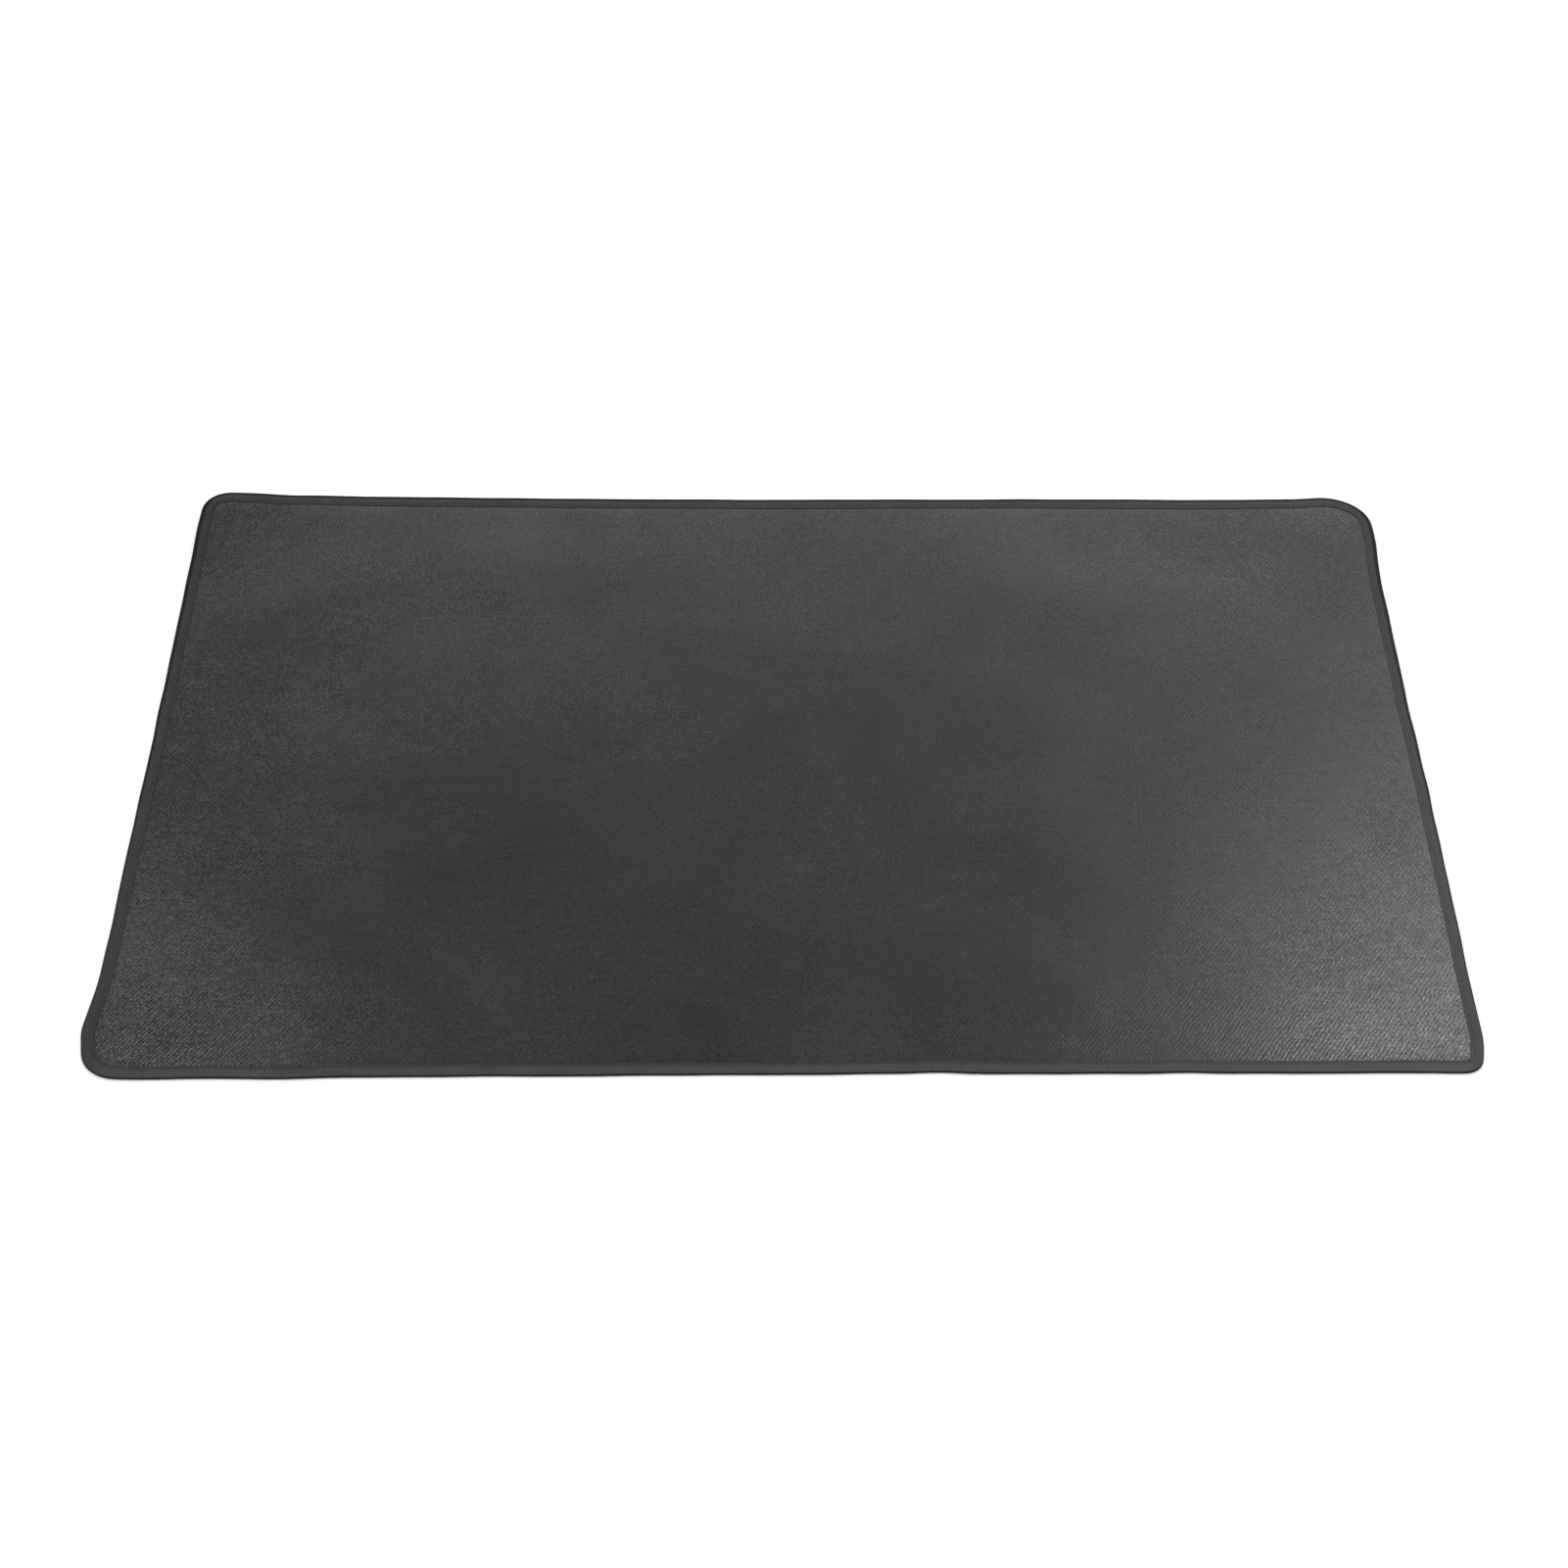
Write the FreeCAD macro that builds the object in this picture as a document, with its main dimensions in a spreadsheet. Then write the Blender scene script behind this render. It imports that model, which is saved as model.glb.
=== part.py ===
import FreeCAD, Part
import math
import os
import Sketcher

# A sewn desk mat: coated cloth, felt core and backing cloth, bound round the edge by one folded tape.
#
# Millimetres, +Z up. X runs along the length and Y away from the user. The origin is at the centre of
# the mat's extent, on the plane that the mat lies on. An "inset" is a distance in from the outer edge.

DIMENSIONS = {
    "mat_length": 1500,  # over the sides, between the corners
    "mat_width": 1000,
    "top_gauge": 0.6,  # coated twill cloth
    "core_gauge": 1.5,  # felt, where the binding does not squeeze it
    "base_gauge": 0.5,  # coated backing cloth
    "tape_gauge": 0.5,  # one thickness of the binding tape
    "tape_face": 17,  # width of tape on the top face
    "tape_return": 17,  # width of tape on the underside
    "step_run": 3,  # inside the tape, the lower layers drop to the floor over this distance
    "seam_inset": 15,  # centre line of the lockstitch seam
    "thread_width": 0.8,
    "thread_sink": 0.25,  # how deep the seam is pulled into the tape
    "lap_length": 28,  # the tape's end lies over its start for this length of the near edge
    "lap_centre": 190,  # X of the middle of the lap
}

# The outline's bends, anticlockwise from the near left corner. Each is the point where two straight
# sides would meet: the half of the length and of the width that it is at, its shift from there in X
# and Y, and the radius that rounds it. The near corners are cut slant and the near left one flares.
BENDS = {
    "near_left": (-1, -1, 6, -5.5, 42),
    "near_sag": (0, -1, 100, 0, 3000),
    "near_right": (1, -1, -6.5, 0, 22),
    "right_cut": (1, -1, 1.5, 45, 150),
    "right_swell": (1, 0, 1.5, 309, 1500),
    "far_right": (1, 1, 7.5, -1, 55),
    "far_rise": (0, 1, -70, -2, 3000),
    "far_left": (-1, 1, 1.5, 5, 38),
    "left_flare": (-1, 0, 1.5, -366, 500),
    "left_cut": (-1, -1, -6.5, 63, 60),
}

# Heights and places that several pieces share, as expressions on the sheet.
STACK = "(Dims.base_gauge + Dims.core_gauge + Dims.top_gauge)"
BINDING = f"({STACK} + Dims.tape_gauge)"
FOLD = f"({BINDING} / 2)"  # the fold's outer radius, and the inset at which the raw layers end
BASE_RIM = "(Dims.tape_gauge + Dims.base_gauge)"  # the base cloth's top, on the tape's return
STEP_FOOT = "(Dims.tape_return + Dims.step_run)"
RIGHT_SIDE = "(Dims.mat_length / 2 + Dims.right_swell_shift_x)"
NEAR_SIDE = "(-Dims.mat_width / 2 + Dims.near_sag_shift_y)"
LAP_START = "(Dims.lap_centre - Dims.lap_length / 2)"
SEAM_OUTER = "(Dims.seam_inset - Dims.thread_width / 2)"
SEAM_INNER = "(Dims.seam_inset + Dims.thread_width / 2)"

doc = FreeCAD.newDocument("DeskMat")
sheet = doc.addObject("Spreadsheet::Sheet", "Dims")


# ---- the sheet ----


def fill_sheet():
    """Puts every driving number in a cell of its own, with its name beside it as the alias."""
    cells = dict(DIMENSIONS)
    for name, (_, _, shift_x, shift_y, radius) in BENDS.items():
        cells[name + "_shift_x"] = shift_x
        cells[name + "_shift_y"] = shift_y
        cells[name + "_radius"] = radius
    for row, (alias, number) in enumerate(cells.items(), start=1):
        sheet.set(f"A{row}", alias)
        sheet.set(f"B{row}", str(number))
        sheet.setAlias(f"B{row}", alias)
    doc.recompute()


def size_of(expression):
    """What an expression on the sheet comes to now."""
    return float(sheet.evalExpression(expression))


# ---- the outline ----


def bend_place(name):
    """Where the two sides beside a bend would meet, as two expressions."""
    half_x, half_y = BENDS[name][:2]
    x = f"({half_x} * Dims.mat_length / 2 + Dims.{name}_shift_x)"
    y = f"({half_y} * Dims.mat_width / 2 + Dims.{name}_shift_y)"
    return x, y


def bend_point(name):
    x, y = bend_place(name)
    return FreeCAD.Vector(size_of(x), size_of(y), 0)


def left_of(direction):
    return FreeCAD.Vector(-direction.y, direction.x, 0)


def bend_arc(index, inset):
    """One bend's arc at an inset: its start, middle and end along the outline, and if it turns left."""
    names = list(BENDS)
    point = bend_point(names[index])
    arriving = (point - bend_point(names[index - 1])).normalize()
    leaving = (bend_point(names[(index + 1) % len(names)]) - point).normalize()
    turn = math.atan2(arriving.cross(leaving).z, arriving.dot(leaving))
    side = math.copysign(1, turn)
    radius = size_of(f"Dims.{names[index]}_radius")
    tangent_point = point - arriving * radius * math.tan(abs(turn) / 2)
    centre = tangent_point + left_of(arriving) * side * radius
    reach = radius - side * inset
    start = centre - left_of(arriving) * side * reach
    end = centre - left_of(leaving) * side * reach
    middle = centre + ((start + end) / 2 - centre).normalize() * reach
    return start, middle, end, turn > 0


def add_size(sketch, constraint, expression):
    """Adds a dimension to a sketch and ties it to the sheet."""
    number = sketch.addConstraint(constraint)
    sketch.setExpression(f"Constraints[{number}]", expression)


def add_guide(sketch):
    """Draws the outline's unrounded sides as construction lines, and returns their numbers."""
    points = [bend_point(name) for name in BENDS]
    guide = []
    for i, point in enumerate(points):
        side = Part.LineSegment(point, points[(i + 1) % len(points)])
        guide.append(sketch.addGeometry(side, True))
    for i, name in enumerate(BENDS):
        x, y = bend_place(name)
        sketch.addConstraint(Sketcher.Constraint("Coincident", guide[i - 1], 2, guide[i], 1))
        add_size(sketch, Sketcher.Constraint("DistanceX", -1, 1, guide[i], 1, points[i].x), x)
        add_size(sketch, Sketcher.Constraint("DistanceY", -1, 1, guide[i], 1, points[i].y), y)
    return guide


def add_outline(sketch, guide, inset):
    """Draws the rounded outline at an inset from the guide, and constrains it fully."""
    depth = size_of(inset)
    bends = [bend_arc(i, depth) for i in range(len(guide))]
    arcs = []
    sides = []
    for i, (start, middle, end, turns_left) in enumerate(bends):
        first, last = (start, end) if turns_left else (end, start)
        arcs.append(sketch.addGeometry(Part.Arc(first, middle, last)))
        next_start = bends[(i + 1) % len(bends)][0]
        sides.append(sketch.addGeometry(Part.LineSegment(end, next_start)))
    for i, name in enumerate(BENDS):
        turns_left = bends[i][3]
        first, last = (1, 2) if turns_left else (2, 1)
        sketch.addConstraint(Sketcher.Constraint("Tangent", sides[i - 1], 2, arcs[i], first))
        sketch.addConstraint(Sketcher.Constraint("Tangent", arcs[i], last, sides[i], 1))
        radius = f"Dims.{name}_radius {'-' if turns_left else '+'} {inset}"
        add_size(sketch, Sketcher.Constraint("Radius", arcs[i], size_of(radius)), radius)
        if depth:
            sketch.addConstraint(Sketcher.Constraint("Parallel", sides[i], guide[i]))
            gap = Sketcher.Constraint("Distance", sides[i], 1, guide[i], depth)
            add_size(sketch, gap, inset)
        else:
            sketch.addConstraint(Sketcher.Constraint("PointOnObject", sides[i], 1, guide[i]))
            sketch.addConstraint(Sketcher.Constraint("PointOnObject", sides[i], 2, guide[i]))


def add_rectangle(sketch, low, high):
    """Draws a rectangle between two corners, each given as two expressions, and constrains it fully."""
    left, bottom, right, top = (size_of(expression) for expression in (*low, *high))
    places = ((left, bottom), (right, bottom), (right, top), (left, top))
    corners = [FreeCAD.Vector(x, y, 0) for x, y in places]
    sides = []
    for i, corner in enumerate(corners):
        side = Part.LineSegment(corner, corners[(i + 1) % len(corners)])
        sides.append(sketch.addGeometry(side))
    for i, side in enumerate(sides):
        sketch.addConstraint(Sketcher.Constraint("Coincident", sides[i - 1], 2, side, 1))
        sketch.addConstraint(Sketcher.Constraint("Vertical" if i % 2 else "Horizontal", side))
    for corner, (x, y) in ((0, low), (2, high)):
        place = corners[corner]
        across = Sketcher.Constraint("DistanceX", -1, 1, sides[corner], 1, place.x)
        add_size(sketch, across, x)
        up = Sketcher.Constraint("DistanceY", -1, 1, sides[corner], 1, place.y)
        add_size(sketch, up, y)


# ---- bodies, sketches and features ----


def new_body(name):
    body = doc.addObject("PartDesign::Body", name)
    body.Label = name
    return body


def new_sketch(body, name, plane="XY_Plane", offset="0"):
    """A sketch on one of the body's own origin planes, or at an offset from it."""
    sketch = body.newObject("Sketcher::SketchObject", f"{body.Name}_{name}")
    support = next(f for f in body.Origin.OriginFeatures if f.Role == plane)
    sketch.AttachmentSupport = (support, [""])
    sketch.MapMode = "FlatFace"
    sketch.setExpression(".AttachmentOffset.Base.z", offset)
    return sketch


def outline_sketch(body, name, height, *insets):
    """A sketch of the mat's outline at one inset, or of the band between two."""
    sketch = new_sketch(body, name, offset=height)
    guide = add_guide(sketch)
    for inset in insets:
        add_outline(sketch, guide, inset)
    return sketch


def add_pad(body, name, sketch, length):
    pad = body.newObject("PartDesign::Pad", f"{body.Name}_{name}")
    pad.Profile = sketch
    pad.setExpression("Length", length)
    doc.recompute()


def add_pocket(body, name, sketch, length, upward):
    """Cuts down from a sketch, or up from it. Stops if it cuts nothing."""
    before = body.Shape.Volume
    pocket = body.newObject("PartDesign::Pocket", f"{body.Name}_{name}")
    pocket.Profile = sketch
    pocket.Reversed = upward
    pocket.setExpression("Length", length)
    doc.recompute()
    if not body.Shape.Volume < before:
        raise RuntimeError(f"{pocket.Name} cut nothing")


def add_loft(body, kind, name, first, second):
    loft = body.newObject(f"PartDesign::{kind}Loft", f"{body.Name}_{name}")
    loft.Profile = first
    loft.Sections = [(second, [""])]
    loft.Ruled = True
    doc.recompute()


def add_step(body, kind, name, upper):
    """Adds or cuts the slope by which a lower layer drops from the tape's return to the floor."""
    lower = f"({upper} - Dims.tape_gauge)"
    top = outline_sketch(body, name + "_top", upper, "Dims.tape_return")
    foot = outline_sketch(body, name + "_foot", lower, STEP_FOOT)
    add_loft(body, kind, name, top, foot)


# ---- the pieces ----


def make_top_cloth():
    """The coated twill of the working face, flat out to its raw edge inside the fold."""
    body = new_body("top_cloth")
    edge = outline_sketch(body, "edge", f"({STACK} - Dims.top_gauge)", FOLD)
    add_pad(body, "cloth", edge, "Dims.top_gauge")
    return body


def make_core_felt():
    """The felt, squeezed inside the binding and at its full gauge within it."""
    body = new_body("core_felt")
    rim = outline_sketch(body, "rim", BASE_RIM, FOLD)
    add_pad(body, "squeezed", rim, "Dims.core_gauge - Dims.tape_gauge")
    add_step(body, "Additive", "full", BASE_RIM)
    return body


def make_base_cloth():
    """The backing cloth, lifted on to the tape's return at the rim and on the floor within it."""
    body = new_body("base_cloth")
    rim = outline_sketch(body, "rim", "Dims.tape_gauge", FOLD)
    add_pad(body, "cloth", rim, "Dims.base_gauge")
    add_step(body, "Additive", "drop", "Dims.tape_gauge")
    add_step(body, "Subtractive", "dish", BASE_RIM)
    return body


def add_folded_profile(sketch):
    """Draws the tape's cross-section where the right side crosses Y = 0: two legs and a round fold."""
    edge = size_of(RIGHT_SIDE)
    height = size_of(BINDING)
    gauge = size_of("Dims.tape_gauge")
    radius = size_of(FOLD)
    centre = edge - radius
    face_end = edge - size_of("Dims.tape_face")
    return_end = edge - size_of("Dims.tape_return")

    def line(x0, z0, x1, z1):
        ends = FreeCAD.Vector(x0, z0, 0), FreeCAD.Vector(x1, z1, 0)
        return sketch.addGeometry(Part.LineSegment(*ends))

    def arc(reach):
        low = FreeCAD.Vector(centre, radius - reach, 0)
        middle = FreeCAD.Vector(centre + reach, radius, 0)
        high = FreeCAD.Vector(centre, radius + reach, 0)
        return sketch.addGeometry(Part.Arc(low, middle, high))

    bottom = line(return_end, 0, centre, 0)
    outer = arc(radius)
    top = line(centre, height, face_end, height)
    face_tip = line(face_end, height, face_end, height - gauge)
    under_top = line(face_end, height - gauge, centre, height - gauge)
    inner = arc(radius - gauge)
    over_bottom = line(centre, gauge, return_end, gauge)
    return_tip = line(return_end, gauge, return_end, 0)

    tangent_pairs = ((bottom, 2, outer, 1), (outer, 2, top, 1))
    tangent_pairs += ((under_top, 2, inner, 2), (inner, 1, over_bottom, 1))
    corner_pairs = ((top, 2, face_tip, 1), (face_tip, 2, under_top, 1))
    corner_pairs += ((over_bottom, 2, return_tip, 1), (return_tip, 2, bottom, 1))
    for pair in tangent_pairs:
        sketch.addConstraint(Sketcher.Constraint("Tangent", *pair))
    for pair in corner_pairs:
        sketch.addConstraint(Sketcher.Constraint("Coincident", *pair))
    for flat in (bottom, top, under_top, over_bottom):
        sketch.addConstraint(Sketcher.Constraint("Horizontal", flat))
    for upright in (face_tip, return_tip):
        sketch.addConstraint(Sketcher.Constraint("Vertical", upright))
    sketch.addConstraint(Sketcher.Constraint("Coincident", inner, 3, outer, 3))
    sketch.addConstraint(Sketcher.Constraint("PointOnObject", bottom, 1, -1))
    add_size(sketch, Sketcher.Constraint("Radius", outer, radius), FOLD)
    add_size(sketch, Sketcher.Constraint("Radius", inner, radius - gauge), f"{FOLD} - Dims.tape_gauge")
    for x, expression, geometry, end in (
        (centre, f"{RIGHT_SIDE} - {FOLD}", outer, 3),
        (face_end, f"{RIGHT_SIDE} - Dims.tape_face", face_tip, 1),
        (return_end, f"{RIGHT_SIDE} - Dims.tape_return", return_tip, 1),
    ):
        add_size(sketch, Sketcher.Constraint("DistanceX", -1, 1, geometry, end, x), expression)


def add_lap_profile(sketch):
    """Draws the lapped end's cross-section: over the face and round the fold, to nothing underneath."""
    gauge = size_of("Dims.tape_gauge")
    fold = size_of(FOLD)
    lap_radius = fold + gauge / 2
    buried = fold - gauge / 2  # the inner side is drawn inside the tape's own thickness
    centre = size_of(NEAR_SIDE) + fold
    face_end = size_of(f"{NEAR_SIDE} + Dims.tape_face")

    def point(y, z):
        return FreeCAD.Vector(y, z, 0)

    top_z = 2 * lap_radius
    buried_z = fold + buried
    top = sketch.addGeometry(Part.LineSegment(point(face_end, top_z), point(centre, top_z)))
    outer_middle = point(centre - lap_radius, lap_radius)
    outer = sketch.addGeometry(Part.Arc(point(centre, top_z), outer_middle, point(centre, 0)))
    heel = sketch.addGeometry(Part.LineSegment(point(centre, 0), point(centre, fold - buried)))
    inner_ends = point(centre, buried_z), point(centre, fold - buried)
    inner = sketch.addGeometry(Part.Arc(inner_ends[0], point(centre - buried, fold), inner_ends[1]))
    under = sketch.addGeometry(Part.LineSegment(inner_ends[0], point(face_end, buried_z)))
    tip = sketch.addGeometry(Part.LineSegment(point(face_end, buried_z), point(face_end, top_z)))

    sketch.addConstraint(Sketcher.Constraint("Tangent", top, 2, outer, 1))
    sketch.addConstraint(Sketcher.Constraint("Tangent", under, 1, inner, 1))
    for pair in ((outer, 2, heel, 1), (heel, 2, inner, 2), (under, 2, tip, 1), (tip, 2, top, 1)):
        sketch.addConstraint(Sketcher.Constraint("Coincident", *pair))
    for flat in (top, under):
        sketch.addConstraint(Sketcher.Constraint("Horizontal", flat))
    for upright in (heel, tip):
        sketch.addConstraint(Sketcher.Constraint("Vertical", upright))
    for curve, end in ((outer, 2), (inner, 3)):
        sketch.addConstraint(Sketcher.Constraint("Vertical", curve, end, outer, 3))
    sketch.addConstraint(Sketcher.Constraint("PointOnObject", outer, 2, -1))
    for radius, expression, geometry in (
        (lap_radius, f"{FOLD} + Dims.tape_gauge / 2", outer),
        (buried, f"{FOLD} - Dims.tape_gauge / 2", inner),
    ):
        add_size(sketch, Sketcher.Constraint("Radius", geometry, radius), expression)
    centre_x = Sketcher.Constraint("DistanceX", -1, 1, outer, 3, centre)
    add_size(sketch, centre_x, f"{NEAR_SIDE} + {FOLD}")
    centre_z = Sketcher.Constraint("DistanceY", -1, 1, inner, 3, fold)
    add_size(sketch, centre_z, FOLD)
    tip_y = Sketcher.Constraint("DistanceX", -1, 1, tip, 1, face_end)
    add_size(sketch, tip_y, f"{NEAR_SIDE} + Dims.tape_face")


def make_binding_tape():
    """One tape folded over the edge all the way round, its end lapped over its start."""
    body = new_body("binding_tape")
    path = outline_sketch(body, "path", "0", "0")
    section = new_sketch(body, "section", "XZ_Plane")
    add_folded_profile(section)
    ring = body.newObject("PartDesign::AdditivePipe", "binding_tape_ring")
    ring.Profile = section
    ring.Spine = path
    doc.recompute()

    lap_section = new_sketch(body, "lap_section", "YZ_Plane", LAP_START)
    add_lap_profile(lap_section)
    add_pad(body, "lap", lap_section, "Dims.lap_length")

    lap_top = f"({BINDING} + Dims.tape_gauge)"
    face_seam = outline_sketch(body, "face_seam", lap_top, SEAM_OUTER, SEAM_INNER)
    add_pocket(body, "face_groove", face_seam, "Dims.tape_gauge + Dims.thread_sink", False)
    under_seam = outline_sketch(body, "under_seam", "0", SEAM_OUTER, SEAM_INNER)
    add_pocket(body, "under_groove", under_seam, "Dims.thread_sink", True)
    return body


def make_needle_thread():
    """The seam's upper thread, sunk in the tape's face and carried up over the lap."""
    body = new_body("needle_thread")
    seam = outline_sketch(body, "seam", f"({BINDING} - Dims.thread_sink)", SEAM_OUTER, SEAM_INNER)
    add_pad(body, "run", seam, "Dims.thread_sink")

    over_lap = new_sketch(body, "over_lap", offset=BINDING)
    low_corner = (LAP_START, f"({NEAR_SIDE} + {SEAM_OUTER})")
    high_corner = (f"({LAP_START} + Dims.lap_length)", f"({NEAR_SIDE} + {SEAM_INNER})")
    add_rectangle(over_lap, low_corner, high_corner)
    add_pad(body, "rise", over_lap, "Dims.tape_gauge")
    return body


def make_bobbin_thread():
    """The seam's lower thread, flush in the underside of the tape."""
    body = new_body("bobbin_thread")
    seam = outline_sketch(body, "seam", "0", SEAM_OUTER, SEAM_INNER)
    add_pad(body, "run", seam, "Dims.thread_sink")
    return body


# ---- build, check and write ----


def check_document(bodies):
    """Stops if any object failed, a sketch is loose, or a piece is not one closed valid solid."""
    doc.recompute()
    for thing in doc.Objects:
        if "Invalid" in thing.State or "Error" in thing.State:
            raise RuntimeError(f"{thing.Name} failed: {thing.State}")
        if thing.TypeId == "Sketcher::SketchObject" and not thing.FullyConstrained:
            raise RuntimeError(f"{thing.Name} is not fully constrained")
    for body in bodies:
        shape = body.Shape
        if shape.isNull() or not shape.isValid() or len(shape.Solids) != 1:
            raise RuntimeError(f"{body.Label} is not one valid solid")


def report(bodies):
    """Prints each piece's box and volume, and the whole mat's box."""
    whole = FreeCAD.BoundBox()
    for body in bodies:
        box = body.Shape.optimalBoundingBox(True, False)
        whole.add(box)
        print(f"{body.Label:14} {body.Shape.Volume / 1000:9.2f} cm3  z {box.ZMin:.2f} to {box.ZMax:.2f}")
    print(f"x {whole.XMin:.2f} to {whole.XMax:.2f}, y {whole.YMin:.2f} to {whole.YMax:.2f}")


fill_sheet()
pieces = [
    make_base_cloth(),
    make_core_felt(),
    make_top_cloth(),
    make_binding_tape(),
    make_needle_thread(),
    make_bobbin_thread(),
]
check_document(pieces)
report(pieces)
os.makedirs("parts", exist_ok=True)
for piece in pieces:
    piece.Shape.exportStep(f"parts/{piece.Label}.step")
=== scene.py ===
# A sewn desk mat as it looks: coated twill over felt and a backing cloth, bound by one folded tape.
#
# Metres, in the CAD model's frame: +X along the length, +Y away from the user, +Z up, the floor at 0.
# Three measures place every point of the mat. "Along" is the way round its outer edge, anticlockwise,
# from where the tape starts. "Inset" is the way in from that edge. Height is above the floor.
import math

import bpy
import numpy as np
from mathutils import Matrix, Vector
from mathutils.geometry import delaunay_2d_cdt
from mathutils.kdtree import KDTree


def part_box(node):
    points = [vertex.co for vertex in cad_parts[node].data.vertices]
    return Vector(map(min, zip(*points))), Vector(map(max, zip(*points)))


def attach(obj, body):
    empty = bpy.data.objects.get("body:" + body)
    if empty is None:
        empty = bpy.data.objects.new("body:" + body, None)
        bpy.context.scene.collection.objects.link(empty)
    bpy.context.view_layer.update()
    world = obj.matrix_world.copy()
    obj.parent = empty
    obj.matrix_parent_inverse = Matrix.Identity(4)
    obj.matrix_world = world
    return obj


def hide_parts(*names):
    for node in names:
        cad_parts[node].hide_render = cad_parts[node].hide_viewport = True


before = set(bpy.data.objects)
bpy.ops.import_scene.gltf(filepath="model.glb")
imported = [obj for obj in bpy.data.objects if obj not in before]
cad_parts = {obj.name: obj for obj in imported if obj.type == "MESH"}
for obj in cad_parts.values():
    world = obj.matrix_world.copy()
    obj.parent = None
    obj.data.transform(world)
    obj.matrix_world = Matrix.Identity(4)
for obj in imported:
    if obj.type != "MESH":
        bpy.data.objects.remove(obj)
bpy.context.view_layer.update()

MM = 0.001

# The tape and its seam, as the CAD model has them
TAPE_FACE = 17 * MM  # nominal width of tape on the face
TAPE_RETURN = 17 * MM  # and on the underside
STEP_RUN = 3 * MM  # inside the return, the lower layers drop to the floor over this distance
SEAM_INSET = 15 * MM
BOBBIN_SINK = 0.25 * MM  # how deep the lower thread is pulled into the tape

# How the mat was sewn
STITCH_PITCH = 4 * MM
NEEDLE_THREAD = 0.33 * MM  # radius
BOBBIN_THREAD = 0.24 * MM  # radius
STITCH_SLANT = 0.3 * MM  # a lockstitch lies a little across its seam
STITCH_SPREAD = 0.08 * MM  # and no two lie quite in line
FACE_SHOWN = {  # how much of the tape really shows on the face, side by side
    "left": 15.0 * MM, "right": 13.9 * MM, "near": 16.5 * MM, "far": 19.5 * MM,
}
FACE_DRIFT = 0.35 * MM  # how much those widths wander
SEAM_PULL = 0.32 * MM  # how far the seam draws the face down
PULL_REACH = 2.6 * MM
HOLE_DIP = 0.16 * MM  # the dimple at each needle hole
CROWN = 0.14 * MM  # the tape's fullness between its fold and the seam
LIP_RISE = 0.12 * MM  # the tape's free edge stands up beyond the seam
LAP_RAMP = 6 * MM  # the tape climbs on to its own start over this distance
SWELL = 0.25 * MM  # the face is fuller just inside the binding

# How the cloths are woven
WARP_PITCH = 1.3 * MM
WEFT_PITCH = 1.94 * MM
BACKING_PITCH = 1.1 * MM
TAPE_END_PITCH = 0.45 * MM
TAPE_RIB_PITCH = 0.72 * MM
THREAD_TWIST = 0.5 * MM

# How finely the pieces are made
EDGE_STEP = 1 * MM
EDGE_ROUGHLY = 5  # metres round the mat, near enough to count its steps
OUTLINE_EVENED = 3  # steps over which the outline's facets are evened out
TURNING_EVENED = 6  # and how sharply it turns
NET_STEP = 10 * MM
RINGS = (  # insets of the layers' points near the binding, and the step along each, in mm
    (4, 4), (8, 5), (11, 4), (12.5, 4), (14, 4), (15, 4), (16, 4), (17, 4), (18, 4), (19, 4),
    (20.5, 4), (22.5, 4), (25, 4), (28, 5), (32, 6), (38, 7), (46, 8),
)
RING_SLACK = 0.3  # a ring's point goes if it is this much nearer to the edge than its ring, in mm
GRID_CLEARANCE = 6  # between the last ring and the even grid inside it, in mm
GRID_MARGIN = 30 * MM  # a first quick cut of that grid, this far inside the mat's box
KEEP_INSIDE = 1  # the triangulation's mode that keeps what lies inside the rim
WELD = 1e-6  # points of the net nearer than this, in metres, become one
SHARP_ANGLE = math.radians(48)  # faces that meet more sharply show an edge
GAP = 0.02 * MM  # air between two layers


# ---- measures ----


def ease(share):
    """0 below 0, 1 above 1, and a smooth climb between them."""
    held = np.clip(share, 0, 1)
    return held * held * (3 - 2 * held)


def hump(offset, reach):
    """1 at no offset, and a smooth fall to 0 on both sides of it."""
    return np.exp(-((offset / reach) ** 2))


def read_stack():
    """The heights of the layers, read from the boxes of the CAD pieces."""
    base_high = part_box("base_cloth")[1].z
    core_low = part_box("core_felt")[0].z
    top_low, top_high = (corner.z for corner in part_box("top_cloth"))
    tape_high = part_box("binding_tape")[1].z
    tape_gauge = base_high - core_low
    return {
        "tape_gauge": tape_gauge,
        "base_gauge": core_low,
        "top_under": top_low,
        "top_face": top_high,
        "binding": tape_high - tape_gauge,
    }


STACK = read_stack()
GAUGE = STACK["tape_gauge"]
FOLD = STACK["binding"] / 2  # the fold's outer radius, and the inset where the raw layers end


# ---- the mat's outer edge ----


def walk(points, count):
    """Points at even steps round a closed line."""
    closed = np.vstack([points, points[:1]])
    lengths = np.linalg.norm(np.diff(closed, axis=0), axis=1)
    reached = np.concatenate([[0], np.cumsum(lengths)])
    stops = np.linspace(0, reached[-1], count, endpoint=False)
    return np.column_stack([np.interp(stops, reached, closed[:, axis]) for axis in (0, 1)])


def smooth_round(values, reach):
    """Evens out values at even steps round the edge, over a reach in steps."""
    waves = np.fft.rfftfreq(len(values)) * 2 * np.pi
    fade = np.exp(-((waves * reach) ** 2) / 2)
    return np.fft.irfft(np.fft.rfft(values, axis=0) * fade[:, None], len(values), axis=0)


def outward_of(points):
    """The unit direction out of the mat at each point of a closed line that runs anticlockwise."""
    ahead = np.roll(points, -1, axis=0) - np.roll(points, 1, axis=0)
    ahead /= np.linalg.norm(ahead, axis=1)[:, None]
    return np.column_stack([ahead[:, 1], -ahead[:, 0]])


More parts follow.
